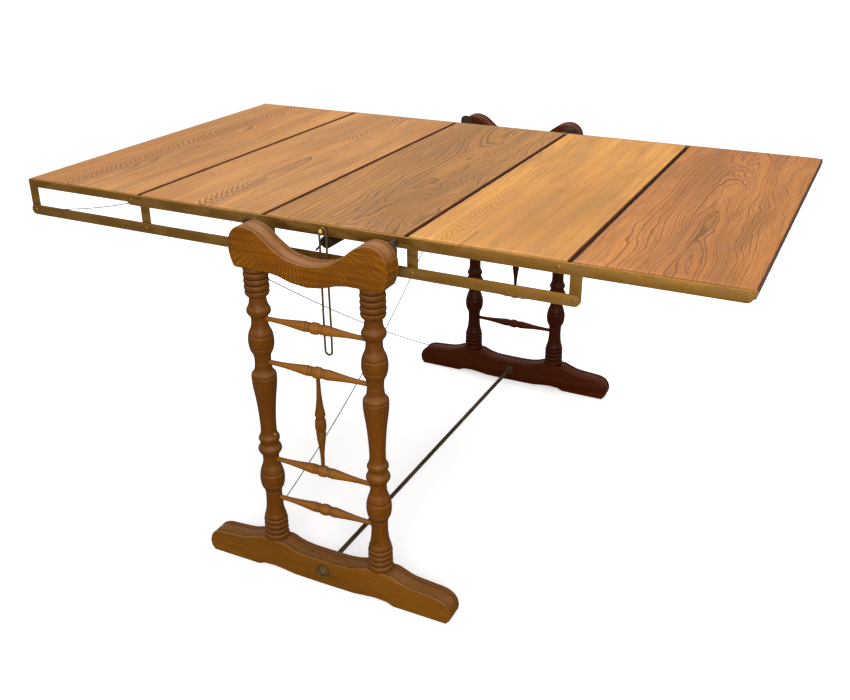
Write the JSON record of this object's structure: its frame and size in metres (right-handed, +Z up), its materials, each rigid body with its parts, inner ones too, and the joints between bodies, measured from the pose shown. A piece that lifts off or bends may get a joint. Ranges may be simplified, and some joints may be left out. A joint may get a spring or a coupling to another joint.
{
  "type": "folding shelf table",
  "caption": "Table whose level boards ride on parallel brass rails between two turned trestles; turned upright, the top becomes a stack of open shelves.",
  "frame": {"origin": "on the floor, under the middle of the table", "axes": "+Z up; +X along the rails, towards the end where the upper rails reach the last board; +Y away from the front trestle"},
  "size_m": [1.49, 1.0846, 0.7475],
  "materials": {
    "trestle_oak": "old oiled oak, satin",
    "board_1_wood": "worn varnished softwood with open grain",
    "board_2_wood": "worn varnished softwood with open grain",
    "board_3_wood": "worn varnished softwood, greyer",
    "board_4_wood": "worn varnished softwood, lightest",
    "board_5_wood": "worn varnished softwood, redder, strong grain",
    "aged_brass": "aged flat bar, rubbed bright on its top edge",
    "dark_brass": "dark tarnished brass",
    "dark_iron": "dark oiled wrought iron",
    "steel_wire": "dull grey drawn wire"
  },
  "bodies": {
    "trestle_frame": {"front_yoke": "trestle_oak", "front_foot": "trestle_oak", "front_left_post": "trestle_oak", "front_right_post": "trestle_oak", "front_cross_spindle_1": "trestle_oak", "front_cross_spindle_2": "trestle_oak", "front_cross_spindle_3": "trestle_oak", "front_cross_spindle_4": "trestle_oak", "front_upright_spindle": "trestle_oak", "front_bracket_3": "aged_brass", "front_upper_pivot_plate": "aged_brass", "front_lower_pivot_plate": "aged_brass", "front_rod_nut": "dark_brass", "front_latch_saddle": "dark_iron", "back_yoke": "trestle_oak", "back_foot": "trestle_oak", "back_left_post": "trestle_oak", "back_right_post": "trestle_oak", "back_cross_spindle_1": "trestle_oak", "back_cross_spindle_2": "trestle_oak", "back_cross_spindle_3": "trestle_oak", "back_cross_spindle_4": "trestle_oak", "back_upright_spindle": "trestle_oak", "back_bracket_3": "aged_brass", "back_upper_pivot_plate": "aged_brass", "back_lower_pivot_plate": "aged_brass", "back_rod_nut": "dark_brass", "back_latch_saddle": "dark_iron", "board_3": "board_3_wood", "board_3_batten": "board_3_wood", "stretcher_rod": "dark_iron", "brace_wire_1": "steel_wire", "brace_eye_1_top": "steel_wire", "brace_eye_1_low": "steel_wire", "brace_wire_2": "steel_wire", "brace_eye_2_top": "steel_wire", "brace_eye_2_low": "steel_wire"},
    "upper_rails": {"front_upper_rail": "aged_brass", "back_upper_rail": "aged_brass", "front_ball_pin": "aged_brass", "back_ball_pin": "aged_brass"},
    "lower_rails": {"front_lower_rail": "aged_brass", "back_lower_rail": "aged_brass"},
    "shelf_1": {"board_1": "board_1_wood", "front_bracket_1": "aged_brass", "back_bracket_1": "aged_brass", "stay_wire": "steel_wire"},
    "shelf_2": {"board_2": "board_2_wood", "front_bracket_2": "aged_brass", "back_bracket_2": "aged_brass"},
    "shelf_4": {"board_4": "board_4_wood", "front_bracket_4": "aged_brass", "back_bracket_4": "aged_brass"},
    "shelf_5": {"board_5": "board_5_wood", "front_bracket_5": "aged_brass", "back_bracket_5": "aged_brass"},
    "front_loop": {"front_keeper_loop": "dark_brass"},
    "back_loop": {"back_keeper_loop": "dark_brass"},
    "latch": {"latch_bar": "dark_iron"}
  },
  "joints": [
    {"name": "top_turn", "type": "hinge", "parent": "trestle_frame", "child": "upper_rails", "pos_m": [0.132, 0, 0.7285], "axis": [0, 1, 0], "range_deg": [0, 90]},
    {"name": "lower_rail_turn", "type": "hinge", "parent": "trestle_frame", "child": "lower_rails", "pos_m": [-0.1365, 0, 0.674], "axis": [0, 1, 0], "range_deg": [0, 90]},
    {"name": "shelf_1_level", "type": "hinge", "parent": "upper_rails", "child": "shelf_1", "pos_m": [-0.466, 0, 0.7285], "axis": [0, 1, 0], "range_deg": [-90, 0]},
    {"name": "shelf_2_level", "type": "hinge", "parent": "upper_rails", "child": "shelf_2", "pos_m": [-0.167, 0, 0.7285], "axis": [0, 1, 0], "range_deg": [-90, 0]},
    {"name": "shelf_4_level", "type": "hinge", "parent": "upper_rails", "child": "shelf_4", "pos_m": [0.431, 0, 0.7285], "axis": [0, 1, 0], "range_deg": [-90, 0]},
    {"name": "shelf_5_level", "type": "hinge", "parent": "upper_rails", "child": "shelf_5", "pos_m": [0.73, 0, 0.7285], "axis": [0, 1, 0], "range_deg": [-90, 0]},
    {"name": "front_loop_swing", "type": "hinge", "parent": "upper_rails", "child": "front_loop", "pos_m": [-0.0155, -0.4435, 0.7285], "axis": [0, 1, 0], "range_deg": [-82.8, 0]},
    {"name": "back_loop_swing", "type": "hinge", "parent": "upper_rails", "child": "back_loop", "pos_m": [-0.0155, 0.4435, 0.7285], "axis": [0, 1, 0], "range_deg": [-82.8, 0]},
    {"name": "latch_turn", "type": "hinge", "parent": "trestle_frame", "child": "latch", "pos_m": [-0.018, 0, 0.702], "axis": [0, 1, 0], "range_deg": [0, 60]}
  ],
  "couplings": [
    {"joint": "lower_rail_turn", "follows": "top_turn", "ratio": 1},
    {"joint": "shelf_1_level", "follows": "top_turn", "ratio": -1},
    {"joint": "shelf_2_level", "follows": "top_turn", "ratio": -1},
    {"joint": "shelf_4_level", "follows": "top_turn", "ratio": -1},
    {"joint": "shelf_5_level", "follows": "top_turn", "ratio": -1},
    {"joint": "front_loop_swing", "follows": "top_turn", "ratio": -0.92},
    {"joint": "back_loop_swing", "follows": "top_turn", "ratio": -0.92}
  ]
}
